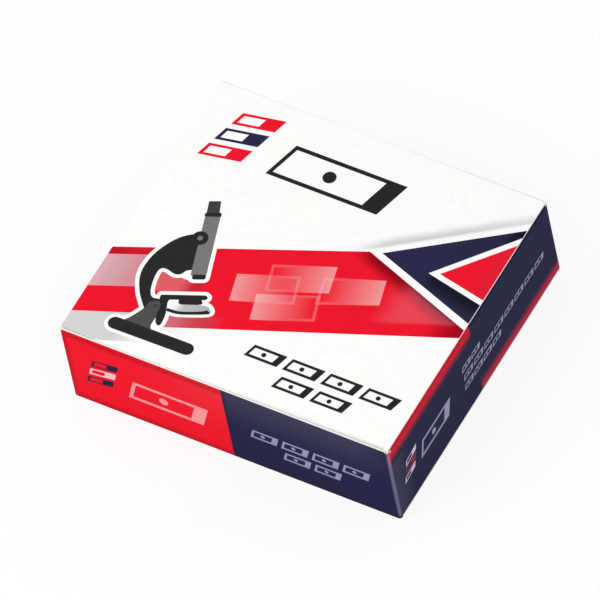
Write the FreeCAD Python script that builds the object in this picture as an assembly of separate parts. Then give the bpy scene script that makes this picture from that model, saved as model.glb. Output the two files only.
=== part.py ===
import FreeCAD, Part
import math
import os

# Box of microscope slides: a folding carton of printed board with a tuck-in lid, and the glass
# slides that stand on their long edges inside it.
# Frame: origin at the middle of the footprint, on the surface that the carton rests on.
# X runs along the front wall, Y from the front wall to the hinged back wall, Z up. Millimetres.

# Slides, which set the size of the carton
slide_count = 72
slide_length = 76.2
slide_height = 25.4
slide_thickness = 1.1
slide_pitch = 1.2
slide_edge_grind = 0.1

# Room left around the row of slides
row_side_gap = 1.4              # from the outer slides to the side walls
row_top_gap = 0.7               # up to the dust flaps
row_back_gap = 0.7              # to the glue flap inside the back wall
row_front_gap = 0.435           # to the free edge of the tuck flap

# Carton board
board_thickness = 0.45

# Folds, by the radius on the outside of the board
wall_fold_radius = 0.9
flap_fold_radius = 0.7
tuck_fold_radius = 0.6
hinge_fold_radius = 0.35

# Lid and tuck flap
lid_play = 0.1                  # between the lid and the dust flaps that it lies on
lid_side_inset = 0.3            # from the lid's cut side edges to the faces of the side walls
front_wall_drop = 0.15          # from the top of the lid down to the front wall's cut edge
tuck_play = 0.2                 # between the tuck flap and the inside of the front wall
tuck_swing_play = 0.1           # least gap to the front wall as the lid swings
tuck_depth = 11.0               # from the top of the lid to the tuck flap's free edge
tuck_side_inset = 1.2           # from the lid's side edges to the sides of the tuck flap
tuck_corner_radius = 5.0

# Top dust flaps, folded in from the side walls
dust_flap_reach = 26.0          # from the face of the side wall to the free edge
dust_flap_front_gap = 0.5       # behind the tuck flap
dust_flap_back_gap = 0.6        # in front of the back wall
dust_flap_taper = 5.0           # how far each end of the free edge stands in
dust_flap_corner_radius = 3.0

# Bottom flaps, glued together
inner_flap_middle_gap = 1.0     # between the free edges of the two inner flaps
inner_flap_end_gap = 0.6        # from the inner flaps to the front and back walls
outer_flap_inset = 0.3          # from the outer flap's cut edges to the faces of the walls

# Glue flap of the side seam, inside the back wall
seam_flap_width = 12.0
seam_flap_end_gap = 1.5         # from its two ends to the flaps above and below

# Layers from the bottom up
outer_flap_top = board_thickness
floor_top = outer_flap_top + board_thickness
dust_flap_underside = floor_top + slide_height + row_top_gap
dust_flap_top = dust_flap_underside + board_thickness
lid_underside = dust_flap_top + lid_play
carton_height = lid_underside + board_thickness

# Across: the row of slides between the side walls
row_width = (slide_count - 1) * slide_pitch + slide_thickness
half_width = row_width / 2 + row_side_gap + board_thickness

# From the lid's crease forward: back wall, glue flap, slides, tuck flap, then the front wall,
# just beyond the circle that the tuck flap's free edge swings on
crease_to_slides = board_thickness * 2 + row_back_gap
crease_to_tuck_edge = crease_to_slides + slide_length + row_front_gap + board_thickness
tuck_swing_radius = math.hypot(crease_to_tuck_edge, tuck_depth)
carton_depth = tuck_swing_radius + tuck_swing_play + board_thickness

# Faces
half_depth = carton_depth / 2
front_inside = -half_depth + board_thickness
back_inside = half_depth - board_thickness
tuck_face = front_inside + tuck_play
lid_half_width = half_width - lid_side_inset
tuck_half_width = lid_half_width - tuck_side_inset

in_plan = (FreeCAD.Vector(1, 0, 0), FreeCAD.Vector(0, 1, 0))
seen_from_front = (FreeCAD.Vector(1, 0, 0), FreeCAD.Vector(0, 0, 1))
seen_from_side = (FreeCAD.Vector(0, 1, 0), FreeCAD.Vector(0, 0, 1))
same_place = 1e-6


def rounded_wire(corners, radii):
    """Closed wire through the corners, each rounded by its own radius. A radius of 0 is sharp."""
    arcs = []
    for index, corner in enumerate(corners):
        radius = radii[index]
        to_last = (corners[index - 1] - corner).normalize()
        to_next = (corners[(index + 1) % len(corners)] - corner).normalize()
        half_angle = to_last.getAngle(to_next) / 2
        tangent_length = radius / math.tan(half_angle)
        middle_length = radius / math.sin(half_angle) - radius
        start = corner + to_last * tangent_length
        end = corner + to_next * tangent_length
        middle = corner + (to_last + to_next).normalize() * middle_length
        arcs.append((start, middle, end))
    edges = []
    for index, (start, middle, end) in enumerate(arcs):
        if radii[index] > 0:
            edges.append(Part.Arc(start, middle, end).toShape())
        next_start = arcs[(index + 1) % len(arcs)][0]
        if end.distanceToPoint(next_start) > same_place:
            edges.append(Part.LineSegment(end, next_start).toShape())
    return Part.Wire(edges)


def plate(outline, radii, axes, low, high):
    """Outline of (across, up) points on two axes, made solid from low to high along the third."""
    across, up = axes
    third = FreeCAD.Vector(1, 1, 1) - across - up
    corners = [across * a + up * u + third * low for a, u in outline]
    face = Part.Face(rounded_wire(corners, radii))
    return face.extrude(third * (high - low))


def folded_board(outer_points, outer_radii, axes, low, high):
    """Strip of board that follows its outer face, with the inside on the left of the way along."""
    outer = [FreeCAD.Vector(a, u, 0) for a, u in outer_points]
    ways = [(b - a).normalize() for a, b in zip(outer, outer[1:])]
    inward = [FreeCAD.Vector(-way.y, way.x, 0) for way in ways]
    before = [inward[0]] + inward
    after = inward + [inward[-1]]
    inner = []
    inner_radii = []
    for corner, one, two, radius in zip(outer, before, after, outer_radii):
        inner.append(corner + (one + two) * (board_thickness / (1 + one.dot(two))))
        inner_radii.append(max(radius - board_thickness, 0))
    outline = [(corner.x, corner.y) for corner in outer + inner[::-1]]
    return plate(outline, list(outer_radii) + inner_radii[::-1], axes, low, high)


def joined(shapes):
    """One solid from shapes that meet."""
    return shapes[0].multiFuse(shapes[1:]).removeSplitter()


def front_wall():
    """Front wall with its two vertical folds. Its middle stands up to the lid's top, a cut edge."""
    fold_end = -half_depth + wall_fold_radius
    corners = [(-half_width, fold_end), (-half_width, -half_depth),
               (half_width, -half_depth), (half_width, fold_end)]
    radii = [0, wall_fold_radius, wall_fold_radius, 0]
    wall = folded_board(corners, radii, in_plan, outer_flap_top, dust_flap_top)
    straight = half_width - wall_fold_radius
    face = [(-straight, outer_flap_top), (straight, outer_flap_top),
            (straight, carton_height - front_wall_drop), (-straight, carton_height - front_wall_drop)]
    middle = plate(face, [0, 0, 0, 0], seen_from_front, -half_depth, front_inside)
    return joined([wall, middle])


def back_wall():
    """Back wall with its two vertical folds, up to the lid's crease."""
    fold_end = half_depth - wall_fold_radius
    corners = [(half_width, fold_end), (half_width, half_depth),
               (-half_width, half_depth), (-half_width, fold_end)]
    radii = [0, wall_fold_radius, wall_fold_radius, 0]
    return folded_board(corners, radii, in_plan, outer_flap_top, dust_flap_top)


def side_wall():
    """Right side wall between its vertical folds, with the start of the flaps at both ends."""
    fold_end = half_width - flap_fold_radius
    corners = [(fold_end, outer_flap_top), (half_width, outer_flap_top),
               (half_width, dust_flap_top), (fold_end, dust_flap_top)]
    radii = [0, flap_fold_radius, flap_fold_radius, 0]
    straight = half_depth - wall_fold_radius
    return folded_board(corners, radii, seen_from_front, -straight, straight)


def dust_flap():
    """Right dust flap under the lid, tapered towards its free edge."""
    root = half_width - flap_fold_radius
    free_edge = half_width - dust_flap_reach
    front = tuck_face + board_thickness + dust_flap_front_gap
    back = back_inside - dust_flap_back_gap
    corners = [(root, front), (root, back),
               (free_edge, back - dust_flap_taper), (free_edge, front + dust_flap_taper)]
    radii = [0, 0, dust_flap_corner_radius, dust_flap_corner_radius]
    return plate(corners, radii, in_plan, dust_flap_underside, dust_flap_top)


def inner_bottom_flap():
    """Right inner flap of the glued bottom."""
    root = half_width - flap_fold_radius
    free_edge = inner_flap_middle_gap / 2
    front = front_inside + inner_flap_end_gap
    back = back_inside - inner_flap_end_gap
    corners = [(free_edge, front), (root, front), (root, back), (free_edge, back)]
    return plate(corners, [0, 0, 0, 0], in_plan, outer_flap_top, floor_top)


def outer_bottom_flap():
    """Full flap that closes the bottom, folded in from the back wall and cut on its other edges."""
    front = -half_depth + outer_flap_inset
    side = half_width - outer_flap_inset
    corners = [(front, 0), (half_depth, 0), (half_depth, outer_flap_top), (front, outer_flap_top)]
    return plate(corners, [0, hinge_fold_radius, 0, 0], seen_from_side, -side, side)


def seam_flap():
    """Glue flap of the left side wall, stuck to the inside of the back wall."""
    root = -half_width + board_thickness
    low = floor_top + seam_flap_end_gap
    high = dust_flap_underside - seam_flap_end_gap
    corners = [(root, low), (root + seam_flap_width, low), (root + seam_flap_width, high), (root, high)]
    return plate(corners, [0, 0, 0, 0], seen_from_front, back_inside - board_thickness, back_inside)


def carton_base():
    """Everything of the carton below the lid's crease, glued up as one piece."""
    right_side = [side_wall(), dust_flap(), inner_bottom_flap()]
    middle = FreeCAD.Vector(0, 0, 0)
    to_left = FreeCAD.Vector(1, 0, 0)
    left_side = [shape.mirror(middle, to_left) for shape in right_side]
    walls = [front_wall(), back_wall(), seam_flap(), outer_bottom_flap()]
    return joined(walls + right_side + left_side)


def lid():
    """Top panel from the crease on the back wall to the tuck flap behind the front wall."""
    free_edge = (half_depth - crease_to_tuck_edge, carton_height - tuck_depth)
    crease = (half_depth, carton_height)
    front_fold = (tuck_face, carton_height)
    middle = folded_board([crease, front_fold, free_edge], [hinge_fold_radius, tuck_fold_radius, 0],
                          seen_from_side, -tuck_half_width, tuck_half_width)
    tuck_outline = [(-tuck_half_width, free_edge[1]), (tuck_half_width, free_edge[1]),
                    (tuck_half_width, carton_height), (-tuck_half_width, carton_height)]
    tuck_radii = [tuck_corner_radius, tuck_corner_radius, 0, 0]
    middle = middle.common(plate(tuck_outline, tuck_radii, seen_from_front, -half_depth, half_depth))
    sides = [folded_board([crease, front_fold], [hinge_fold_radius, 0], seen_from_side, low, high)
             for low, high in ((-lid_half_width, -tuck_half_width), (tuck_half_width, lid_half_width))]
    return joined([middle] + sides)


def slide(left):
    """One glass slide on its long edge, with the sharp edges ground off."""
    right = left + slide_thickness
    low = floor_top
    high = floor_top + slide_height
    grind = slide_edge_grind
    corners = [(left + grind, low), (right - grind, low), (right, low + grind), (right, high - grind),
               (right - grind, high), (left + grind, high), (left, high - grind), (left, low + grind)]
    back = half_depth - crease_to_slides
    return plate(corners, [0] * len(corners), seen_from_front, back - slide_length, back)


def slides():
    """The row of slides, side by side across the carton."""
    first = -row_width / 2
    return Part.makeCompound([slide(first + index * slide_pitch) for index in range(slide_count)])


os.makedirs("parts", exist_ok=True)
for name, shape in (("carton_base", carton_base()), ("lid", lid()), ("slides", slides())):
    shape.exportStep("parts/" + name + ".step")
    print(name, len(shape.Solids), "solids,", round(shape.Volume, 2), "mm3, valid:", shape.isValid())
print("carton", 2 * half_width, "x", carton_depth, "x", carton_height)
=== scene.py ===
import math

import bmesh
import bpy
import numpy as np
from mathutils import Matrix, Vector
from mathutils.geometry import delaunay_2d_cdt


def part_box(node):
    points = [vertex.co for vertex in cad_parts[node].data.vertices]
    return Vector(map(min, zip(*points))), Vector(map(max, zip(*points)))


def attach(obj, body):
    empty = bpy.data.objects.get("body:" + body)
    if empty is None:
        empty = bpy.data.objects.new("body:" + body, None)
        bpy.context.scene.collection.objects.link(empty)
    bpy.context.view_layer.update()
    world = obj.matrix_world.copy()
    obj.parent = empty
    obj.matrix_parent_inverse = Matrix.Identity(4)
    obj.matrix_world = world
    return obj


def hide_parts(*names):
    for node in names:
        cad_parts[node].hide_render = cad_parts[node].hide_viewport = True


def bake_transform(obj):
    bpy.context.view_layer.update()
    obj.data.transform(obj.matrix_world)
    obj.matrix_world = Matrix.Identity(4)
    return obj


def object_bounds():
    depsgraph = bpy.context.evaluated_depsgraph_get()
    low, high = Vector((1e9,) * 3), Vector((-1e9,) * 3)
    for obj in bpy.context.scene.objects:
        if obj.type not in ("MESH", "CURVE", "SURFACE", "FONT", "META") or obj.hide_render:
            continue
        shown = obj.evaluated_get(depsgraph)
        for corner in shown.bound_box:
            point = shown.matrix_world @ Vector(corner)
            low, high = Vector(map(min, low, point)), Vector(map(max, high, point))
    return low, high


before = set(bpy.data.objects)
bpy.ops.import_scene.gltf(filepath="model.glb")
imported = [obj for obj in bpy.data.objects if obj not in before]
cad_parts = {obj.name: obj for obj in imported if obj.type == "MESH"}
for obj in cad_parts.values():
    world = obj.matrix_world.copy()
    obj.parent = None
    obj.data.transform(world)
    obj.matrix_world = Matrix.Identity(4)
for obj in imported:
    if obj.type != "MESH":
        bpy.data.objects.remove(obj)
cad_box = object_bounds()

# Carton ---------------------------------------------------------------------------------------
# One die-cut blank of coated board, printed flat, creased, and folded round the row of slides.
# Its left wall's flap is glued inside the back wall, and its bottom flaps are glued together.
mm = 0.001
board = 0.45                    # thickness of the board
print_depth = 0.02              # from the carton's size to the bare face, taken up by the ink
base_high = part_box("carton_base")[1] / mm
lid_low, lid_high = (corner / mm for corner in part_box("lid"))
half_width, half_depth = base_high.x, base_high.y
lid_play = 0.1                  # between the walls' tops and the lid
walls_foot = board              # the walls stand on the outer bottom flap
walls_top = lid_high.z - board - lid_play
front_wall_top = base_high.z

wall_fold, flap_fold, bottom_fold = 0.9, 0.7, 0.5      # outside radii of the folds
slit = 0.15                     # width of the cut between a flap and the wall beside it
seam_wall = half_depth - board  # where the left wall's outer face meets the back wall
seam_flap_width, seam_flap_foot, seam_flap_top = 12.45, 2.4, 25.5
crease_zone = 27.2              # top of the back wall, below the lid's crease

wall_red = (0.81, 0.005, 0.021, 1)
wall_navy = (0.0132, 0.0132, 0.0530, 1)


class Value:
    """A number, colour or other value between nodes. Sums of numbers add the Math nodes they need."""

    def __init__(self, nodes, socket):
        self.nodes = nodes
        self.socket = socket

    def math(self, operation, *numbers):
        return self.nodes.node("ShaderNodeMath", {"operation": operation}, dict(enumerate(numbers)))

    def __add__(self, other):
        return self.math("ADD", self, other)

    def __radd__(self, other):
        return self.math("ADD", other, self)

    def __sub__(self, other):
        return self.math("SUBTRACT", self, other)

    def __rsub__(self, other):
        return self.math("SUBTRACT", other, self)

    def __mul__(self, other):
        return self.math("MULTIPLY", self, other)

    def __rmul__(self, other):
        return self.math("MULTIPLY", other, self)

    def __pow__(self, other):
        return self.math("POWER", self, other)

    def __abs__(self):
        return self.math("ABSOLUTE", self)

    def least(self, other):
        return self.math("MINIMUM", self, other)

    def most(self, other):
        return self.math("MAXIMUM", self, other)

    def rise(self, low, high):
        """0 up to low, 1 from high on, and smooth in between."""
        return self.nodes.node("ShaderNodeMapRange", {"interpolation_type": "SMOOTHSTEP"},
                               {"Value": self, "From Min": low, "From Max": high})


class Nodes:
    """A tree of nodes, of a finish or of a pattern of marks."""

    def __init__(self, tree):
        self.tree = tree

    def feed(self, socket, value):
        if isinstance(value, Value):
            self.tree.links.new(value.socket, socket)
        else:
            socket.default_value = value

    def node(self, kind, settings, sockets, output=0):
        """Adds a node: its settings first, then the values or links of its sockets."""
        made = self.tree.nodes.new(kind)
        for setting, choice in settings.items():
            setattr(made, setting, choice)
        for socket, value in sockets.items():
            for one in value if isinstance(value, list) else [value]:
                self.feed(made.inputs[socket], one)
        return Value(self, made.outputs[output])


class Finish(Nodes):
    """A finish of the box: one material on the Principled shader."""

    def __init__(self, name, sockets):
        self.material = bpy.data.materials.new(name)
        self.material.use_nodes = True
        super().__init__(self.material.node_tree)
        self.surface = self.tree.nodes["Principled BSDF"]
        for socket, value in sockets.items():
            self.give(socket, value)

    def give(self, socket, value):
        """Sets or links a socket of the Principled shader."""
        self.feed(self.surface.inputs[socket], value)

    def blank_spot(self):
        """Place on the flat blank, across and up, in millimetres."""
        spot = self.node("ShaderNodeUVMap", {"uv_map": "blank"}, {})
        return [self.node("ShaderNodeSeparateXYZ", {}, {0: spot}, output) for output in (0, 1)]

    def noise(self, size, detail=2.0, roughness=0.5):
        """Noise whose patches are about size millimetres wide."""
        place = self.node("ShaderNodeTexCoord", {}, {}, 3)
        return self.node("ShaderNodeTexNoise", {}, {"Vector": place, "Scale": 1 / (size * mm),
                                                    "Detail": detail, "Roughness": roughness})

    def mix(self, share, one, two):
        """Colour one, turning into colour two as share goes from 0 to 1."""
        return self.node("ShaderNodeMix", {"data_type": "RGBA"}, {0: share, 6: one, 7: two}, 2)

    def relief(self, height, strength, depth):
        """Bumps in the surface, depth millimetres high."""
        return self.node("ShaderNodeBump", {},
                         {"Strength": strength, "Distance": depth * mm, "Height": height})

    def cover(self, share, shader):
        """Shows another shader in place of the Principled one, as share goes from 0 to 1."""
        own = Value(self, self.surface.outputs[0])
        both = self.node("ShaderNodeMixShader", {}, {0: share, 1: own, 2: shader})
        self.feed(self.tree.nodes["Material Output"].inputs["Surface"], both)


def shade(red, green, blue):
    """Linear colour of a shade given in the 0 to 255 of a colour chart."""
    parts = [part / 255 for part in (red, green, blue)]
    return tuple(p / 12.92 if p <= 0.04045 else ((p + 0.055) / 1.055) ** 2.4 for p in parts) + (1.0,)


def coated(name, colour_of):
    """Clay-coated face of the board under its thin varnish: calendered fibres, slightly uneven gloss."""
    finish = Finish(name, {"Specular IOR Level": 0.02})
    fibres = finish.noise(0.35, 3.0, 0.6)
    waves = finish.noise(9.0, 1.0)
    finish.give("Roughness", 0.42 + 0.1 * fibres + 0.06 * waves)
    finish.give("Normal", finish.relief(fibres * 0.35 + waves * 2.0, 0.35, 0.01))
    mottle = finish.noise(1.6, 2.0).rise(0.35, 0.8) * 0.03
    finish.give("Base Color", finish.mix(mottle, colour_of(finish), (0, 0, 0, 1)))
    return finish


def fold_wear_and_highlight(finish, colour, from_fold, pale):
    """Pale line along a fold of the blank: partly ink rubbed thin at the crease, partly a painted highlight
    where the rounded fold catches the light.
    """
    line = 1 - abs(from_fold).rise(0.1, 0.9)
    return finish.mix(line * (0.65 + 0.35 * finish.noise(0.5, 3.0)), colour, pale)


def painted_rim_shade(finish, colour):
    """Painted shade on the walls' ink: a little darker along the creases at their tops and feet and along the
    front left fold.
    """
    across, up = finish.blank_spot()
    shade_at_top = up.rise(24.6, 26.2) * (1 - up.rise(26.4, 27.8) * 0.6)
    rim_shade = shade_at_top.most(1 - up.rise(0.8, 3.6)).most(1 - across.rise(0.9, 2.1))
    # Deep red that the painted shade darkens the ink towards
    deep_red = (0.2, 0.0, 0.004, 1)
    return finish.mix(rim_shade * 0.42, colour, deep_red)


def white_face(finish):
    """Bare clay coat, in faint clouds of two whites."""
    return finish.mix(finish.noise(14.0, 1.0), shade(250, 250, 249), shade(251, 251, 248))


def red_face(finish):
    """Red ink, with a painted sheen that makes it a little lighter towards the middle of the front, and
    painted shade along its rims.
    """
    across, up = finish.blank_spot()
    # Painted sheen: lighter towards the middle and top of the front
    painted_sheen = across.rise(16, 44) * up.rise(8, 26) * (1 - across.rise(46, 50))
    colour = finish.mix(painted_sheen * 0.03, wall_red, (0.9, 0.5, 0.5, 1))
    return painted_rim_shade(finish, colour)


def navy_face(finish):
    """Navy ink, with a painted sheen towards the top of the front, a painted highlight beside the front right
    fold and painted shade at the foot.
    """
    across, up = finish.blank_spot()
    # Painted sheen towards the top of the front, and a painted highlight beside the front right fold
    on_front = up.rise(12, 30) * (1 - across.rise(78, 94)) * across.rise(44, 46)
    fold_highlight = across.rise(89.5, 90.5) * (1 - across.rise(91, 99)) * 0.82
    colour = finish.mix(on_front.most(fold_highlight) * 0.046, wall_navy, (0.65, 0.62, 0.75, 1))
    # Painted shade, darker towards the foot
    colour = finish.mix(1 - up.rise(0.4, 2.4), colour, (0.012, 0.011, 0.035, 1))
    # Pale line of the front right fold: partly rubbed ink, partly painted highlight, dimmer near the foot
    pale = finish.mix(up.rise(0.5, 2.5), (0.03, 0.03, 0.07, 1), (0.19, 0.185, 0.31, 1))
    return fold_wear_and_highlight(finish, colour, across - 2 * half_width, pale)


def shaded_stripe_face(finish):
    """Red of the side walls' stripes, made deeper than the front's red as painted shade for the less lit side
    walls, and duller in the low one. Both fade out into the navy.
    """
    across, up = finish.blank_spot()
    colour = finish.mix(up.rise(4, 24), shade(184, 40, 66), shade(202, 26, 48))
    strength = up.rise(21.9, 26.0).most(1 - up.rise(2.0, 5.9)) ** 1.5
    colour = finish.mix(strength, wall_navy, colour)
    # Pale line of the fold beside the stripes: partly rubbed ink, partly painted highlight
    return fold_wear_and_highlight(finish, colour, across - 2 * half_width, (0.72, 0.16, 0.22, 1))


def grey_board(name, colour):
    """Uncoated pulp: the grey-white inside of the board, or its cut core, with flecks of fibre."""
    finish = Finish(name, {"Specular IOR Level": 0.2, "Roughness": 0.85})
    flecks = finish.noise(0.6, 4.0, 0.7)
    clouds = finish.noise(12.0, 2.0)
    tone = finish.mix(clouds, colour, tuple(part * 0.94 for part in colour[:3]) + (1,))
    finish.give("Base Color", finish.mix(flecks.rise(0.62, 0.8) * 0.35, tone, shade(150, 140, 126)))
    finish.give("Normal", finish.relief(flecks, 0.5, 0.02))
    return finish


def toned_ink(finish, tone):
    """Flat ink, uneven by a few hundredths."""
    return finish.mix(finish.noise(3.0, 2.0), shade(*tone), shade(*(part * 0.97 for part in tone)))


def flat_ink(name, tone):
    """Finish of a field of one ink."""
    return coated(name, lambda finish: toned_ink(finish, tone))


white_board = coated("white_coated_board", white_face)
red_board = coated("red_printed_board", red_face)
navy_board = coated("navy_printed_board", navy_face)
inside_board = grey_board("board_inside", shade(226, 222, 212))
cut_board = grey_board("board_cut_edge", shade(243, 242, 239))


class FoldedFace:
    """Outer face of folded board in section. Places along it count as if its folds were sharp."""

    def __init__(self, start, corners, radii):
        self.corners = [Vector(corner) for corner in corners]
        self.radii = radii
        self.ways = [(b - a).normalized() for a, b in zip(self.corners, self.corners[1:])]
        self.places = [start]
        for a, b in zip(self.corners, self.corners[1:]):
            self.places.append(self.places[-1] + (b - a).length)

    def fold_reach(self, fold):
        turn = self.ways[fold - 1].angle(self.ways[fold])
        return self.radii[fold] * math.tan(turn / 2)

    def fold_places(self, fold, steps=8):
        """Places across a fold where its arc is divided."""
        reach = self.fold_reach(fold)
        return [self.places[fold] + reach * (2 * step / steps - 1) for step in range(steps + 1)]

    def spot(self, place, depth):
        """Where a place on the face is, or the board below it at a depth."""
        for fold in range(1, len(self.corners) - 1):
            reach = self.fold_reach(fold)
            if abs(place - self.places[fold]) < reach:
                turn = self.ways[fold - 1].angle(self.ways[fold])
                first = self.outward(fold - 1)
                inward = -(first + self.outward(fold)).normalized()
                centre = self.corners[fold] + inward * (self.radii[fold] / math.cos(turn / 2))
                share = (place - self.places[fold] + reach) / (2 * reach)
                spoke = Matrix.Rotation(turn * share, 2) @ first
                return centre + spoke * (self.radii[fold] - depth)
        run = max(i for i in range(len(self.ways)) if i == 0 or self.places[i] <= place)
        return self.corners[run] + self.ways[run] * (place - self.places[run]) - self.outward(run) * depth

    def outward(self, run):
        return Vector((self.ways[run].y, -self.ways[run].x))


def within(outline, spots):
    """Which spots of the blank lie inside an outline."""
    winding = np.zeros(len(spots))
    x, y = spots[:, 0], spots[:, 1]
    for (ax, ay), (bx, by) in zip(outline, list(outline[1:]) + [outline[0]]):
        left = (bx - ax) * (y - ay) - (x - ax) * (by - ay)
        winding += (ay <= y) & (by > y) & (left > 0)
        winding -= (ay > y) & (by <= y) & (left < 0)
    return winding != 0


def rectangle(left, low, right, high):
    return [(left, low), (right, low), (right, high), (left, high)]


def new_piece(name, made, finishes):
    """Object of the scene made from finished mesh code, with its finishes."""
    mesh = bpy.data.meshes.new(name)
    made.to_mesh(mesh)
    made.free()
    for finish in finishes:
        mesh.materials.append(finish.material)
    piece = bpy.data.objects.new(name, mesh)
    bpy.context.scene.collection.objects.link(piece)
    return piece


def cut_and_fold(name, panels, lines, inks, place, finishes):
    """Cuts a blank out along its panels, prints it, folds it and gives it the board's thickness.

    Inks are (number of the finish, outline), each over the last. The finishes end in the board's
    inside and its cut edge. place(across, up, depth) says where a spot is once folded.
    """
    spots, edges = [], []
    for outline in panels + [outline for _, outline in inks]:
        first = len(spots)
        spots += [Vector(spot) for spot in outline]
        edges += [(first + i, first + (i + 1) % len(outline)) for i in range(len(outline))]
    for start, end in lines:
        edges.append((len(spots), len(spots) + 1))
        spots += [Vector(start), Vector(end)]
    flat, _, triangles, *_ = delaunay_2d_cdt(spots, edges, [], 0, 1e-4)
    centres = np.array([sum((flat[i] for i in t), Vector((0, 0))) / 3 for t in triangles])
    kept = np.zeros(len(triangles), bool)
    for outline in panels:
        kept |= within(outline, centres)
    ink_of = np.zeros(len(triangles), int)
    for ink, outline in inks:
        ink_of[within(outline, centres)] = ink

    made = bmesh.new()
    blank = made.loops.layers.uv.new("blank")
    outside, inside, outward = {}, {}, {}
    for triangle, keep in zip(triangles, kept):
        for i in triangle if keep else ():
            if i not in outside:
                outer, inner = place(*flat[i], print_depth), place(*flat[i], board)
                outside[i] = made.verts.new(outer * mm)
                inside[i] = made.verts.new(inner * mm)
                outward[i] = (outer - inner).normalized()

    def face(corners, numbers, finish, curved):
        new = made.faces.new(corners)
        new.material_index = finish
        new.smooth = curved
        for loop, i in zip(new.loops, numbers):
            loop[blank].uv = flat[i]

    inside_finish, edge_finish = len(finishes) - 2, len(finishes) - 1
    ways = {(t[i], t[(i + 1) % 3]) for t, keep in zip(triangles, kept) if keep for i in range(3)}
    for triangle, keep, ink in zip(triangles, kept, ink_of):
        if not keep:
            continue
        curved = min(outward[triangle[0]].dot(outward[i]) for i in triangle) < 0.9999
        back = triangle[::-1]
        face([outside[i] for i in triangle], triangle, int(ink), curved)
        face([inside[i] for i in back], back, inside_finish, curved)
        for i in range(3):
            a, b = triangle[i], triangle[(i + 1) % 3]
            if (b, a) not in ways:
                cut = [outside[b], outside[a], inside[a], inside[b]]
                face(cut, (b, a, a, b), edge_finish, False)
    return new_piece(name, made, finishes)


back_end_gap = 0.4              # the back wall stops short of the left wall's face
inner_flap_gap = 0.5            # from the middle of the box to each inner bottom flap
outer_flap_gap = 0.3            # from the walls' faces to the outer bottom flap
dust_reach = 26                 # length of the dust flaps

# Walls in plan, counted from the front left corner towards the right
plan = FoldedFace(-seam_wall - half_depth - seam_flap_width,
                  [(-half_width + seam_flap_width, seam_wall), (-half_width, seam_wall),
                   (-half_width, -half_depth), (half_width, -half_depth),
                   (half_width, half_depth), (-half_width + back_end_gap, half_depth)],
                  [0, flap_fold, wall_fold, wall_fold, wall_fold, 0])
_, left_wall, front_wall, right_wall, back_wall, blank_end = plan.places

# Side walls and the back wall in section, from the bottom flap's free edge up
side_section = FoldedFace(walls_foot + inner_flap_gap - half_width,
                          [(inner_flap_gap, walls_foot), (half_width, walls_foot), (half_width, walls_top),
                           (half_width - dust_reach, walls_top)], [0, flap_fold, flap_fold, 0])
back_section = FoldedFace(outer_flap_gap - 2 * half_depth,
                          [(outer_flap_gap - half_depth, 0), (half_depth, 0), (half_depth, walls_top)],
                          [0, bottom_fold, 0])


def carton_place(across, up, depth):
    """Where a spot of the carton's blank lies once it is folded."""
    free = wall_fold + slit / 2
    if right_wall + free < across < back_wall - free:
        out, height = side_section.spot(up, depth)
        return Vector((out, across - right_wall - half_depth, height))
    if left_wall + free < across < front_wall - free:
        out, height = side_section.spot(up, depth)
        return Vector((-out, front_wall - across - half_depth, height))
    if across > back_wall and up < bottom_fold + 0.01:
        out, height = back_section.spot(up, depth)
        return Vector((half_width - (across - back_wall), out, height))
    x, y = plan.spot(across, depth)
    return Vector((x, y, up))


def rounded(outline, radii, steps=6):
    """Outline with each corner rounded by its radius."""
    points = []
    for i, corner in enumerate(outline):
        corner = Vector(corner)
        before, after = Vector(outline[i - 1]), Vector(outline[(i + 1) % len(outline)])
        if not radii[i]:
            points.append(tuple(corner))
            continue
        to_before, to_after = (before - corner).normalized(), (after - corner).normalized()
        half = to_before.angle(to_after) / 2
        centre = corner + (to_before + to_after).normalized() * (radii[i] / math.sin(half))
        start = corner + to_before * (radii[i] / math.tan(half)) - centre
        end = corner + to_after * (radii[i] / math.tan(half)) - centre
        sweep = start.angle_signed(end)
        points += [tuple(centre + Matrix.Rotation(-sweep * k / steps, 2) @ start) for k in range(steps + 1)]
    return points


flap_root = flap_fold           # a flap's fold starts this far from the sharp corner
lap = 0.1                       # by which an outline runs into the next one, so that they join
dust_front, dust_back = 1.6, seam_wall + half_depth - 0.6     # ends of the dust flaps, from the front
dust_edge = walls_top + dust_reach
dust_slant, dust_round = 5, 3   # by which their sides draw in, and the radius of their corners
inner_flap_front = 1.05         # start of the inner bottom flaps, from the front
inner_flap_round = 1.5
side_panels = []
for right in (True, False):
    def side(outline, right=right):
        if right:
            return [(right_wall + y, up) for y, up in outline]
        return [(front_wall - y, up) for y, up in outline][::-1]
    back_end = 2 * half_depth if right else 2 * half_depth - board
    flap_back = min(dust_back, back_end - wall_fold - slit)
    side_panels += [
        side(rectangle(0, walls_foot + flap_root, back_end, walls_top - flap_root)),
        side(rectangle(0, walls_foot, wall_fold, walls_top)),
        side(rectangle(back_end - (wall_fold if right else flap_fold), walls_foot, back_end, walls_top)),
        side(rectangle(dust_front, walls_top - flap_root - lap, flap_back, walls_top + flap_root + lap)),
        side(rounded([(dust_front, walls_top + flap_root), (flap_back, walls_top + flap_root),
                      (flap_back - dust_slant, dust_edge), (dust_front + dust_slant, dust_edge)],
                     [0, 0, dust_round, dust_round])),
        side(rounded(rectangle(inner_flap_front, side_section.places[0], flap_back,
                               walls_foot + flap_root + lap), [inner_flap_round, inner_flap_round, 0, 0])),
    ]
seam_flap_bevel = 3             # by which the seam flap narrows at each end
seam_cut = 0.55                 # from the back wall's free edge to the outer bottom flap's fold
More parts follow.
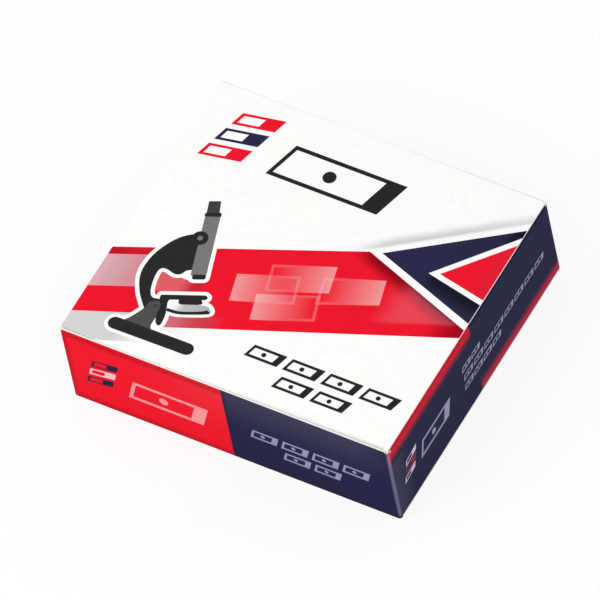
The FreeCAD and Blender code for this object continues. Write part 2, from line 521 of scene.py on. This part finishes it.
wall_panels = [
    rectangle(front_wall, walls_foot, right_wall, walls_top),
    rectangle(front_wall + wall_fold, walls_top - 1, right_wall - wall_fold, front_wall_top),
    rectangle(back_wall, walls_foot, blank_end, crease_zone),
    rectangle(back_wall, crease_zone - 1, back_wall + wall_fold, walls_top),
    rectangle(back_wall + wall_fold + slit, -bottom_fold - lap, blank_end - seam_cut, 3 * bottom_fold),
    rectangle(back_wall + outer_flap_gap, back_section.places[0],
              blank_end + back_end_gap - outer_flap_gap, -bottom_fold - lap / 2),
    [(left_wall - seam_flap_width, seam_flap_foot + seam_flap_bevel), (left_wall, seam_flap_foot),
     (left_wall, seam_flap_top), (left_wall - seam_flap_width, seam_flap_top - seam_flap_bevel)],
]

carton_lines = []
for fold in range(1, 5):
    carton_lines += [((at, walls_foot - 2 * lap), (at, front_wall_top + 2 * lap))
                     for at in plan.fold_places(fold)]
for start, end in ((left_wall, front_wall), (right_wall, back_wall)):
    for fold in (1, 2):
        carton_lines += [((start, at), (end, at)) for at in side_section.fold_places(fold)]
carton_lines += [((back_wall, at), (blank_end, at)) for at in back_section.fold_places(1)]


def emblem(left, low, size, inks, ground):
    """Three slides fanned out one above the other, each a slanting outline with its end filled in."""
    length, height = Vector((size * 0.66, size * 0.12)), Vector((size * 0.07, size * 0.24))
    whole, window = rectangle(0, 0, 1, 1), rectangle(0.09, 0.2, 0.58, 0.8)      # shares of the two
    outlines = []
    for step, ink in enumerate(inks):
        corner = Vector((left + size * 0.1 * step, low + size * 0.33 * step))
        for colour, shares in ((ink, whole), (ground, window)):
            outlines.append((colour, [tuple(corner + length * a + height * b) for a, b in shares]))
    return outlines


# The walls are printed red and navy. Flaps that end up inside or below stay white
front_middle, back_middle = front_wall + 44.3, back_wall + 45.5     # where red and navy meet
high_stripe, low_stripe = 21.9, 5.9         # the side walls' red stripes lie above one, below the other
right_high_end, right_low_start = right_wall + 40.3, right_wall + 41
left_high_end, left_low_start = front_wall - 40.6, front_wall - 40.2
bleed = 2.0                     # of the side walls' print onto the flaps
printed_top, printed_foot = walls_top + bleed, walls_foot - bleed
past = 1                        # by which other print passes the board's edges
red, navy, pale_pink, lavender, dull_red, shaded_stripe_red = range(1, 7)  # places among the finishes
wall_inks = [
    (red, rectangle(front_wall, printed_foot, front_middle, front_wall_top + past)),
    (navy, rectangle(front_middle, printed_foot, back_middle, front_wall_top + past)),
    (red, rectangle(back_middle, printed_foot, blank_end + past, front_wall_top + past)),
    (navy, rectangle(left_wall - past, printed_foot, front_wall, printed_top)),
    (shaded_stripe_red, rectangle(right_wall, high_stripe, right_high_end, printed_top)),
    (shaded_stripe_red, rectangle(right_low_start, printed_foot, back_wall, low_stripe)),
    (shaded_stripe_red, rectangle(left_wall - past, high_stripe, left_high_end, printed_top)),
    (shaded_stripe_red, rectangle(left_low_start, printed_foot, front_wall, low_stripe)),
]
wall_inks += emblem(front_wall + 5.0, 9.0, 11.0, (navy, pale_pink, navy), red)
wall_inks += emblem(right_wall + 4.4, 9.4, 7.6, (lavender, dull_red, lavender), navy)
wall_finishes = [
    white_board, red_board, navy_board,
    flat_ink("pale_pink_ink", (252, 196, 200)),
    flat_ink("lavender_ink", (214, 196, 214)),
    flat_ink("dull_red_ink", (150, 40, 66)),
    # Side stripes' red, darker than the front's red as painted shade
    coated("shaded_stripe_red", shaded_stripe_face),
    inside_board, cut_board,
]
carton_board = cut_and_fold("carton_board", side_panels + wall_panels, carton_lines, wall_inks, carton_place,
                            wall_finishes)
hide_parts("carton_base")
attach(carton_board, "carton")

# Slides ---------------------------------------------------------------------------------------
# Seventy-two slides of clear soda-lime glass, standing on their long edges side by side.
# Their edges are ground, so they look frosted and green beside the polished faces.
slides_low, slides_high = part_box("slides")


def slide_glass():
    """Polished glass, ground at the edges to a pale green frost that scatters the light."""
    glass_ior = 1.52
    finish = Finish("slide_glass", {"IOR": glass_ior, "Specular IOR Level": 0.5, "Transmission Weight": 0.85})
    place = finish.node("ShaderNodeTexCoord", {}, {}, 3)
    y, z = [finish.node("ShaderNodeSeparateXYZ", {}, {0: place}, axis) for axis in (1, 2)]
    edge = 0.12 * mm
    top = z.rise(slides_high.z - 2 * edge, slides_high.z - edge)
    foot = 1 - z.rise(slides_low.z + edge, slides_low.z + 2 * edge)
    front = 1 - y.rise(slides_low.y + edge, slides_low.y + 2 * edge)
    back = y.rise(slides_high.y - 2 * edge, slides_high.y - edge)
    ground = top.most(foot).most(front).most(back)
    grain = finish.noise(0.08, 3.0, 0.7)
    film = finish.noise(7.0, 2.0)
    finish.give("Roughness", 0.02 + film * 0.03)
    finish.give("Base Color", finish.mix(film, shade(240, 248, 245), shade(234, 244, 240)))
    frosted = finish.node("ShaderNodeBsdfPrincipled", {}, {
        "Base Color": finish.mix(grain, shade(206, 226, 218), shade(226, 240, 234)),
        "Roughness": 0.5 + 0.2 * grain,
        "Normal": finish.relief(grain, 0.3, 0.01),
        "IOR": glass_ior, "Specular IOR Level": 0.3, "Transmission Weight": 0.2})
    finish.cover(ground, frosted)
    return finish


slide_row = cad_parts["slides"].data
slide_row.materials.clear()
slide_row.materials.append(slide_glass().material)

# Lid ------------------------------------------------------------------------------------------
# Top panel of the same board, white with a red band, a navy and red arrowhead and a microscope
# printed on it. It turns on the crease of the back wall, and its tuck flap goes behind the front.
lid_top = lid_high.z
lid_left, lid_right = lid_low.x + half_width, lid_high.x + half_width     # from the carton's left edge
tuck_nearer = 0.13              # by which the tuck flap is nearer the front wall than its solid
tuck_face = lid_low.y - tuck_nearer         # outside of the tuck flap
lid_front = tuck_face + half_depth
crease_width = 0.7              # what the crease takes of the lid and of the back wall
tuck_side = 1.5                 # from the carton's side to the tuck flap's side
tuck_slit = 0.1                 # width of the cut between the tuck flap and the lid's corner
tuck_fold, tuck_round = 0.5, 5  # radii of its fold and of its corners
tuck_edge = half_depth - 78.685             # outside of its free edge, which leans into the box

lid_section = FoldedFace(crease_width, [(half_depth - crease_width, lid_top), (tuck_face, lid_top),
                                        (tuck_edge, lid_low.z)], [0, tuck_fold, 0])
tuck_end = 2 * half_depth - lid_section.places[-1]


def lid_place(across, up, depth):
    """Where a spot of the lid lies. It is given from the carton's left edge and front edge."""
    if tuck_side < across < 2 * half_width - tuck_side:
        y, z = lid_section.spot(2 * half_depth - up, depth)
        return Vector((across - half_width, y, z))
    return Vector((across - half_width, up - half_depth, lid_top - depth))


def curve_through(points, steps=5):
    """Smooth open line through points."""
    ends = [2 * Vector(points[0]) - Vector(points[1])] + [Vector(p) for p in points]
    ends.append(2 * Vector(points[-1]) - Vector(points[-2]))
    line = []
    for a, b, c, d in zip(ends, ends[1:], ends[2:], ends[3:]):
        for step in range(steps):
            s = step / steps
            line.append(tuple(0.5 * (2 * b + (c - a) * s + (2 * a - 5 * b + 4 * c - d) * s ** 2
                                     + (3 * b - 3 * c + d - a) * s ** 3)))
    return line + [tuple(points[-1])]


def capsule(start, end, radius, steps=9):
    """Outline of a straight stroke with round ends."""
    way = (Vector(end) - Vector(start)).normalized() if start != end else Vector((1, 0))
    side = Vector((way.y, -way.x)) * radius
    turns = [math.pi * k / steps for k in range(steps + 1)]
    return ([tuple(Vector(end) + Matrix.Rotation(turn, 2) @ side) for turn in turns]
            + [tuple(Vector(start) - Matrix.Rotation(turn, 2) @ side) for turn in turns])


def grown(outline, by):
    """Outline moved outwards all round, with its corners rounded."""
    points = [Vector(point) for point in outline]
    area = sum(a.x * b.y - b.x * a.y for a, b in zip(points, points[1:] + points[:1]))
    if area < 0:
        points.reverse()
    moved = []
    for before, point, after in zip(points[-1:] + points, points, points[1:] + points[:1]):
        one, two = (point - before).normalized(), (after - point).normalized()
        out_one, out_two = Vector((one.y, -one.x)), Vector((two.y, -two.x))
        turn = -one.angle_signed(two)
        if turn > 0.3:
            moved += [tuple(point + Matrix.Rotation(turn * k / 4, 2) @ out_one * by) for k in range(5)]
        else:
            between = (out_one + out_two).normalized()
            moved.append(tuple(point + between * (by / max(0.6, between.dot(out_one)))))
    return moved


# Red band, slanting up to the right, with strips of other tones at its left end
far_left, far_right = -1, 91    # print runs this far across, just past the lid's sides
band = [(far_left, 1.1), (far_right, 36.7), (far_right, 38.2), (58.0, 49.8), (24.3, 36.0), (far_left, 25.6)]
strip_deep = [(far_left, 23.3), (13, 29.0), (13, 31.3), (far_left, 25.6)]
strip_grey = [(far_left, 13.3), (13, 18.9), (13, 29.0), (far_left, 23.3)]
strip_pale = [(far_left, -1), (5.4, -1), (34, 9.3), (34, 14.85), (22, 14.1), (far_left, 5.3)]
strip_opening = [(13, 17.6), (27.6, 23.6), (27.6, 26.6), (21, 27.8), (13, 28.8)]
strip_low = [(20, 9.2), (48, 20.1), (48, 23.3), (20, 13.0)]

# Arrowhead at the right edge
arrow = [(60.9, 50.6), (far_right, 71.3), (far_right, 40.3)]
arrow_notch = [(73.9, 49.9), (far_right, 69.5), (far_right, 46.4)]
arrow_heart = [(76.5, 50.8), (far_right, 67.1), (far_right, 47.9)]

# Microscope
arm = (curve_through([(17.6, 37.9), (15.0, 36.1), (13.0, 33.8), (11.2, 30.2), (10.25, 26.6), (10.2, 23.0),
                      (11.1, 20.0), (12.9, 17.0), (14.6, 15.0), (16.2, 13.3)])
       + curve_through([(19.6, 14.6), (19.4, 16.9), (18.0, 17.2), (16.5, 17.0), (15.3, 18.1), (14.4, 20.5),
                        (13.9, 23.4), (14.2, 25.2), (15.6, 25.6), (18.0, 25.1), (19.4, 25.7), (20.2, 27.1),
                        (21.6, 28.0)])
       + [(21.6, 36.0), (19.5, 38.0)])
foot = (curve_through([(13.0, 8.2), (14.2, 9.7), (15.2, 11.5), (16.0, 13.3), (16.5, 15.6), (18.2, 16.8)])
        + curve_through([(19.6, 15.9), (20.0, 14.2), (20.0, 11.0), (20.1, 9.6), (20.9, 8.2)]))
strut = curve_through([(18.1, 18.4), (18.2, 17.3), (19.2, 16.2), (19.5, 14.8), (19.8, 12.8), (20.6, 11.0),
                       (21.6, 10.3), (22.1, 11.0), (21.9, 13.2), (21.2, 15.4), (20.5, 17.2),
                       (20.6, 18.4)], 3)
tube = [(16.45, 43.05), (19.95, 44.45), (25.3, 27.5), (21.7, 26.3)]
eyepiece = rounded([(15.2, 47.2), (16.5, 43.4), (19.45, 44.6), (17.9, 48.4)], [0.3, 0, 0, 0.3], 3)
collar = rounded([(16.0, 43.8), (16.4, 42.8), (20.15, 44.3), (19.7, 45.4)], [0.25, 0.25, 0.25, 0.25], 3)
objective = rounded([(21.95, 26.7), (22.6, 25.35), (25.6, 26.65), (25.1, 27.95)], [0.5, 0.5, 0.5, 0.5], 3)
stage = ([(18.0, 17.6), (18.0, 18.55)]
         + curve_through([(27.9, 22.6), (28.7, 22.3), (28.6, 21.5), (27.7, 21.0)], 3)
         + curve_through([(28.3, 20.4), (28.3, 19.9), (27.4, 19.35)], 3)
         + [(23.6, 17.85), (23.0, 18.0), (22.6, 18.95), (20.5, 18.0)])
mirror = curve_through([(21.2, 15.2), (21.6, 16.4), (23.8, 17.9), (27.2, 19.3), (29.8, 19.9), (31.2, 19.1),
                        (31.1, 18.2), (28.0, 16.7), (24.4, 15.3), (22.6, 15.0)], 3)
mirror_rim = (curve_through([(21.2, 15.7), (24.2, 15.95), (27.0, 17.0), (29.4, 18.2), (30.3, 18.95)], 4)
              + curve_through([(31.3, 18.6), (31.1, 18.0), (28.0, 16.5), (24.4, 15.1), (21.3, 14.8)], 4))
base_ends = (11.75, 6.85), (31.4, 7.1)
base_radius, base_rim = 1.72, 2.6           # of the base's stroke and of the white round it
pivot_ends = (18.5, 36.8), (18.5, 36.8)
pivot_radius, pivot_rim, pivot_screw = 2.05, 3.0, 0.7
foot_pin = capsule((18.3, 15.1), (18.3, 15.1), 0.55)
under_tube = rectangle(19.4, 24.8, 22.6, 27.4)      # white between the arm and the tube

# Places of the inks among the lid's finishes
(white, band_red, deep_red, pink_grey, pale_grey, opening_red, low_pink, arrow_navy, arrow_red,
 black, dark_grey, tube_grey, eyepiece_grey, mirror_grey) = range(14)
lid_inks = [
    (band_red, band), (deep_red, strip_deep), (pink_grey, strip_grey), (pale_grey, strip_pale),
    (opening_red, strip_opening), (low_pink, strip_low),
    (arrow_navy, arrow), (white, arrow_notch), (arrow_red, arrow_heart),
]
white_rim = 1.0                 # round the microscope
lid_inks += [(white, grown(part, white_rim))
             for part in (arm, foot, strut, tube, eyepiece, stage, mirror, objective)]
lid_inks += [
    (white, capsule(*base_ends, base_rim)), (white, capsule(*pivot_ends, pivot_rim)), (white, under_tube),
    (black, arm), (dark_grey, foot), (eyepiece_grey, foot_pin), (black, strut), (tube_grey, tube),
    (eyepiece_grey, eyepiece), (black, collar), (black, objective), (mirror_grey, mirror),
    (black, mirror_rim), (black, stage), (black, capsule(*pivot_ends, pivot_radius)),
    (tube_grey, capsule(*pivot_ends, pivot_screw)), (black, capsule(*base_ends, base_radius)),
]
lid_inks += emblem(5.6, 58.4, 16.6, (arrow_red, arrow_navy, arrow_red), white)


def right_of(x, y, a, b):
    """How far (x, y) is to the right of the line from a to b."""
    length = math.hypot(b[0] - a[0], b[1] - a[1])
    along = ((b[0] - a[0]) / length, (b[1] - a[1]) / length)
    return x * along[1] - y * along[0] + (a[1] * along[0] - a[0] * along[1])


def lid_white(finish):
    """White field, with the soft grey shadow that is printed along the arrowhead."""
    across, up = finish.blank_spot()
    above_line = right_of(across, up, (89.0, 72.4), (57.8, 50.8))
    shadow = above_line.rise(-0.8, 0.3) * (1 - above_line.rise(0, 3.1)) * across.rise(52, 62)
    shadow = shadow * (1 - across.rise(74, 90) * 0.3)
    colour = finish.mix(shadow, white_face(finish), shade(205, 206, 205))
    # Pale line along the lid's front fold: partly rubbed coat, partly painted highlight
    return fold_wear_and_highlight(finish, colour, up - lid_front, shade(253, 251, 248))


def band_frames(finish):
    """The band's red, with a dark corner, a pale corner and four see-through frames over each other."""
    across, up = finish.blank_spot()
    colour = finish.mix(finish.noise(5.0, 1.0), (0.85, 0.0085, 0.026, 1), (0.82, 0.0075, 0.024, 1))
    from_end = right_of(across, up, band[3], band[2])
    above_strip = right_of(across, up, (88.0, 39.2), (68.0, 31.6)).rise(-0.4, 0.9)
    pale = across.rise(66.0, 74.0) * above_strip
    colour = finish.mix(pale * 0.6, colour, shade(232, 84, 98))
    ashen = (1 - from_end.rise(0.6, 4.6)) * across.rise(68, 77) * above_strip
    colour = finish.mix(ashen * 0.8, colour, shade(148, 64, 80))
    edge_line = (1 - from_end.rise(0.1, 1.1)) * across.rise(68, 72)
    colour = finish.mix(edge_line * 0.6, colour, shade(112, 16, 38))
    colour = finish.mix(across.rise(79, 89) * (1 - above_strip) * 0.85, colour, shade(146, 2, 24))
    dark = (1 - from_end.rise(0.6, 4.6)) * across.rise(52, 60) * (1 - across.rise(69, 75))
    colour = finish.mix(dark * 0.92, colour, shade(138, 3, 22))
    frames = (
        ((31.7, 31.3), (46.4, 36.9), (48.9, 28.7), (33.7, 23.5), False),
        ((38.1, 37.1), (53.1, 42.8), (54.9, 35.0), (40.2, 29.2), True),
        ((38.8, 28.0), (53.5, 33.8), (55.7, 26.4), (41.0, 20.4), False),
        ((51.4, 38.8), (65.8, 44.0), (67.7, 36.8), (53.1, 30.7), True),
    )
    for top_left, top_right, low_right, low_left, solid_right in frames:
        above = right_of(across, up, top_left, top_right)
        right = right_of(across, up, top_right, low_right)
        below = right_of(across, up, low_right, low_left)
        left = right_of(across, up, low_left, top_left)
        inside = above.least(below).least(left.least(right))
        length = math.hypot(top_right[0] - top_left[0], top_right[1] - top_left[1])
        solid = (left if solid_right else right) * (1 / length)
        fill = solid.most(0.0) ** 1.5 * 0.31
        line = (1 - inside.rise(0.7, 1.0)) * 0.09
        colour = finish.mix(inside.rise(0.0, 0.2) * fill.most(line), colour, (1, 1, 1, 1))
    return colour


def arrow_tones(finish):
    """Navy that turns nearly black under the notch and at the upper arm's end."""
    across, up = finish.blank_spot()
    colour = finish.mix(across.rise(70, 88), shade(41, 42, 72), shade(38, 39, 66))
    under_notch = right_of(across, up, arrow_notch[0], arrow_notch[2])
    dark = under_notch.rise(0.0, 0.3) * (1 - under_notch.rise(1.2, 4.4)) * across.rise(73.5, 76)
    dark = dark.most(across.rise(85.5, 88.5) * up.rise(60, 62))
    return finish.mix(dark * 0.9, colour, shade(20, 22, 36))


def toned(*stops):
    """Ink whose tone changes along the band, from stop to stop."""
    def colour_of(finish):
        across, _ = finish.blank_spot()
        colour = shade(*stops[0][1])
        for (start, _), (end, tone) in zip(stops, stops[1:]):
            colour = finish.mix(across.rise(start, end), colour, shade(*tone))
        return colour if len(stops) > 1 else toned_ink(finish, stops[0][1])
    return colour_of


lid_finishes = [
    coated("lid_white", lid_white),
    coated("band_red", band_frames),
    coated("band_deep_red", toned((0, (196, 20, 42)), (9, (206, 26, 46)))),
    coated("band_pink_grey", toned((0, (222, 172, 176)), (4, (208, 160, 168)), (9, (214, 142, 152)))),
    coated("band_pale_grey", toned((12, (211, 210, 210)), (20, (237, 237, 236)), (33, (250, 250, 249)))),
    coated("band_opening", toned((20.5, (224, 92, 102)), (24.5, (198, 34, 54)), (27.6, (238, 24, 44)))),
    coated("band_low_strip", toned((23, (210, 108, 122)), (30, (206, 62, 78)), (37, (236, 20, 42)))),
    coated("arrow_navy", arrow_tones),
    coated("arrow_red", toned((84, (238, 22, 45)), (89, (223, 30, 52)))),
    coated("microscope_black", toned((10, (42, 43, 41)))),
    coated("microscope_dark_grey", toned((13, (80, 80, 78)))),
    coated("microscope_tube_grey", toned((17, (121, 121, 119)))),
    coated("microscope_eyepiece", toned((15, (64, 64, 63)))),
    coated("microscope_mirror", toned((22, (247, 247, 248)), (25, (188, 188, 192)), (31, (178, 177, 184)))),
    inside_board, cut_board,
]
fold_top = lid_front + lid_section.fold_reach(1)
tuck_left = tuck_side + tuck_slit / 2
tuck_right = 2 * half_width - tuck_left
lid_panels = [
    rectangle(lid_left, fold_top + lap / 2, lid_right, 2 * half_depth - crease_width),
    rectangle(lid_left, lid_front, tuck_left - tuck_slit, fold_top + 2 * lap),
    rectangle(tuck_right + tuck_slit, lid_front, lid_right, fold_top + 2 * lap),
    rounded(rectangle(tuck_left, tuck_end, tuck_right, fold_top + 2 * lap),
            [tuck_round, tuck_round, 0, 0], 10),
]
lid_lines = [((far_left, 2 * half_depth - at), (far_right, 2 * half_depth - at))
             for at in lid_section.fold_places(1)]
lid_board = cut_and_fold("lid_board", lid_panels, lid_lines, lid_inks, lid_place, lid_finishes)
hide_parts("lid")
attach(lid_board, "top")

# Lid's crease ---------------------------------------------------------------------------------
# The scored line of the same board between the back wall and the lid. On the box it bends as the lid turns,
# from a square corner over the back wall to a fold the other way. This mesh is made only in the first shape,
# with the lid shut.
crease_section = FoldedFace(crease_zone, [(half_depth, crease_zone), (half_depth, lid_top),
                                          (half_depth - crease_width, lid_top)], [0, bottom_fold, 0])
crease_end = crease_section.places[-1]


def crease_place(across, up, depth):
    """Where a spot of the crease lies. It is given on the carton's blank, above the back wall."""
    y, z = crease_section.spot(up, depth)
    return Vector((half_width - (across - back_wall), y, z))


crease_right, crease_left = back_wall + wall_fold + slit, back_wall + 2 * half_width - wall_fold - slit
crease_lines = [((back_wall, at), (blank_end + past, at)) for at in crease_section.fold_places(1, 12)]
crease_print = 27.45            # top of the back wall's print
crease_inks = [(red, rectangle(back_middle, crease_zone - past, blank_end + past, crease_print)),
               (navy, rectangle(back_wall, crease_zone - past, back_middle, crease_print))]
crease_board = cut_and_fold("crease_board", [rectangle(crease_right, crease_zone, crease_left, crease_end)],
                            crease_lines, crease_inks, crease_place,
                            [white_board, red_board, navy_board, inside_board, cut_board])
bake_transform(crease_board)

# Printed marks --------------------------------------------------------------------------------
# Rows of small slide signs in black, pink and lavender ink on the lid, the front and the right
# side. Each sign is a slanting outline with its label end filled in, a film of ink on the board.
def mark_tree():
    """Row of slide signs, centred on the origin and lying in the XY plane."""
    tree = bpy.data.node_groups.new("slide_signs", "GeometryNodeTree")
    kinds = {"Count": "NodeSocketInt", "Pitch": "NodeSocketFloat", "Width": "NodeSocketFloat",
             "Height": "NodeSocketFloat", "Slant": "NodeSocketFloat", "Line": "NodeSocketFloat",
             "Label": "NodeSocketFloat", "Drop": "NodeSocketFloat", "Film": "NodeSocketFloat",
             "Ink": "NodeSocketMaterial"}
    for name, kind in kinds.items():
        tree.interface.new_socket(name, in_out="INPUT", socket_type=kind)
    tree.interface.new_socket("Signs", in_out="OUTPUT", socket_type="NodeSocketGeometry")
    nodes = Nodes(tree)
    given = tree.nodes.new("NodeGroupInput").outputs
    inputs = [Value(nodes, given[name]) for name in kinds]
    count, pitch, width, height, slant, line, label, drop, film, ink = inputs

    def along(distance):
        return nodes.node("ShaderNodeCombineXYZ", {}, {"X": distance})

    def slanting(wide, high, offset):
        return nodes.node("GeometryNodeCurvePrimitiveQuadrilateral", {"mode": "PARALLELOGRAM"},
                          {"Width": wide, "Height": high, "Offset": offset})

    def joined(one, two):
        return nodes.node("GeometryNodeJoinGeometry", {}, {"Geometry": [one, two]})

    window_height = height - line * 2
    window_slant = slant * window_height.math("DIVIDE", window_height, height)
    window = slanting(width - line - label, window_height, window_slant)
    specimen = nodes.node("GeometryNodeCurvePrimitiveCircle", {"mode": "RADIUS"},
                          {"Resolution": 16, "Radius": drop})
    window = nodes.node("GeometryNodeTransform", {},
                        {"Geometry": joined(window, specimen), "Translation": along((line - label) * 0.5)})
    outline = joined(window, slanting(width, height, slant))
    under = nodes.node("GeometryNodeFillCurve", {}, {"Curve": outline})
    over = nodes.node("GeometryNodeExtrudeMesh", {},
                      {"Mesh": under, "Offset Scale": film, "Individual": False})
    under = nodes.node("GeometryNodeFlipFaces", {}, {"Mesh": under})
    sign = nodes.node("GeometryNodeMergeByDistance", {},
                      {"Geometry": joined(over, under), "Distance": 0.001 * mm})
    row = nodes.node("GeometryNodeMeshLine", {"mode": "OFFSET"}, {
        "Count": count, "Start Location": along((count - 1) * pitch * -0.5), "Offset": along(pitch)})
    signs = nodes.node("GeometryNodeInstanceOnPoints", {}, {"Points": row, "Instance": sign})
    signs = nodes.node("GeometryNodeRealizeInstances", {}, {"Geometry": signs})
    signs = nodes.node("GeometryNodeSetMaterial", {}, {"Geometry": signs, "Material": ink})
    nodes.feed(tree.nodes.new("NodeGroupOutput").inputs["Signs"], signs)
    return tree


sign_tree = mark_tree()
film_thickness = 0.015


def marks(name, rows, ink, turned, body):
    """Signs of one ink on one face. Rows are (centre, count, pitch, width, height, line)."""
    made = bmesh.new()
    for centre, count, pitch, width, height, line in rows:
        carrier = bpy.data.objects.new(name + "_row", bpy.data.meshes.new(name + "_row"))
        bpy.context.scene.collection.objects.link(carrier)
        pattern = carrier.modifiers.new("signs", "NODES")
        pattern.node_group = sign_tree
        sizes = {"Count": count, "Pitch": pitch * mm, "Width": width * mm, "Height": height * mm,
                 "Slant": height * 0.3 * mm, "Line": line * mm, "Label": height * 0.48 * mm,
                 "Drop": height * 0.17 * mm, "Film": film_thickness * mm, "Ink": ink.material}
        for socket in sign_tree.interface.items_tree:
            if socket.in_out == "INPUT":
                pattern[socket.identifier] = sizes[socket.name]
        evaluated = carrier.evaluated_get(bpy.context.evaluated_depsgraph_get())
        signs = bpy.data.meshes.new_from_object(evaluated)
        bpy.data.objects.remove(carrier)
        signs.transform(Matrix.Translation(Vector(centre) * mm) @ turned)
        made.from_mesh(signs)
    piece = new_piece(name, made, [ink])
    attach(piece, body)


flat = Matrix.Identity(4)
upright = Matrix.Rotation(math.pi / 2, 4, "X")
sideways = Matrix.Rotation(math.pi / 2, 4, "Z") @ upright


# Centres of signs on the printed faces, given from the carton's left side, front and foot
def on_lid(x, y):
    return (x - half_width, y - half_depth, lid_top - print_depth)


def on_front(x, z):
    return (x - half_width, print_depth - half_depth, z)


def on_side(y, z):
    return (half_width - print_depth, y - half_depth, z)


black_ink = flat_ink("black_marks_ink", (38, 39, 38))
marks("lid_large_sign", [(on_lid(40.4, 65.0), 1, 1, 30.5, 10.2, 1.1)], black_ink, flat, "top")
marks("lid_row_signs", [(on_lid(65.3, 13.0), 4, 10.4, 8.9, 3.7, 0.75),
                        (on_lid(65.3, 7.5), 2, 10.4, 8.9, 3.6, 0.75)], black_ink, flat, "top")
marks("front_large_sign", [(on_front(27.9, 12.6), 1, 1, 20.6, 7.4, 1.0)],
      flat_ink("pink_marks_ink", (248, 150, 156)), upright, "carton")
marks("front_row_signs", [(on_front(67.0, 13.7), 4, 8.35, 7.1, 3.3, 0.62),
                          (on_front(67.0, 9.0), 2, 8.35, 7.1, 3.1, 0.6)],
      flat_ink("lavender_marks_ink", (148, 148, 180)), upright, "carton")
marks("side_signs", [(on_side(20.1, 12.2), 1, 1, 13.8, 5.4, 0.75),
                     (on_side(38.8, 16.8), 2, 4.6, 4.0, 1.8, 0.36),
                     (on_side(54.5, 13.5), 8, 5.05, 4.3, 1.8, 0.36),
                     (on_side(43.3, 10.1), 4, 4.6, 4.0, 1.8, 0.36)],
      flat_ink("grey_lavender_marks_ink", (154, 154, 184)), sideways, "carton")

# Floor, light and camera ----------------------------------------------------------------------
# Plain white sweep under even, soft light from all round, with a large soft lamp at the front left.
# The camera looks down on the box's front right corner through a long lens.
centre = (cad_box[0] + cad_box[1]) / 2


def looked_at(nodes):
    """1 for the camera's view, also in a reflection or through glass, and 0 for light on things."""
    camera_view, reflection, through_glass = [
        nodes.node("ShaderNodeLightPath", {}, {}, "Is %s Ray" % ray)
        for ray in ("Camera", "Glossy", "Transmission")]
    return camera_view.most(reflection).most(through_glass)


def floor():
    """Disc of white paper far wider than the view. It shows as white, with the carton's soft shadow."""
    paper = Finish("floor_paper", {"Roughness": 0.9, "Specular IOR Level": 0.0})
    tone = paper.mix(paper.noise(40.0, 1.0), (0.93, 0.93, 0.93, 1), (0.94, 0.94, 0.94, 1))
    paper.give("Base Color", tone)
    glow = paper.node("ShaderNodeEmission", {}, {"Color": (1, 1, 1, 1), "Strength": 1.0})
    paper.cover(looked_at(paper) * 0.86, glow)
    made = bmesh.new()
    bmesh.ops.create_circle(made, cap_ends=True, segments=96, radius=6.0)
    disc = new_piece("floor", made, [paper])
    disc.location = (centre.x, centre.y, cad_box[0].z)


floor()
bpy.context.scene.view_settings.view_transform = "Standard"
world = bpy.data.worlds.new("studio")
bpy.context.scene.world = world
world.use_nodes = True
sky = Nodes(world.node_tree)
sky.feed(world.node_tree.nodes["Background"].inputs["Color"], (1, 1, 1, 1))
sky.feed(world.node_tree.nodes["Background"].inputs["Strength"], 0.88 + 0.12 * looked_at(sky))


def lamp(name, place, power, size):
    """Square soft lamp aimed at the carton."""
    light = bpy.data.lights.new(name, "AREA")
    light.shape = "SQUARE"
    light.size = size
    light.energy = power
    lamp_object = bpy.data.objects.new(name, light)
    lamp_object.location = centre + Vector(place)
    lamp_object.rotation_euler = (-Vector(place)).to_track_quat("-Z", "Y").to_euler()
    bpy.context.scene.collection.objects.link(lamp_object)


lamp("key_softbox", (-0.35, -0.55, 0.55), 1.8, 0.5)


def camera():
    """Long lens from above the front right, turned a little so that the carton leans in the picture."""
    azimuth, elevation, roll = math.radians(38.86), math.radians(53.72), math.radians(-12.29)
    distance = 4.0
    back = Vector((math.sin(azimuth) * math.cos(elevation), -math.cos(azimuth) * math.cos(elevation),
                   math.sin(elevation)))
    level = Vector((math.cos(azimuth), math.sin(azimuth), 0))
    upward = back.cross(level)
    right = level * math.cos(roll) + upward * math.sin(roll)
    top = upward * math.cos(roll) - level * math.sin(roll)
    lens = bpy.data.cameras.new("camera")
    lens.lens, lens.sensor_width = 1005, 36
    lens.clip_start, lens.clip_end = 0.1, 50
    view = bpy.data.objects.new("camera", lens)
    target = centre + Vector((-2.07, -1.41, 0)) * mm
    turned = Matrix((right, top, back)).transposed().to_4x4()
    view.matrix_world = Matrix.Translation(target + back * distance) @ turned
    bpy.context.scene.collection.objects.link(view)
    bpy.context.scene.camera = view


camera()
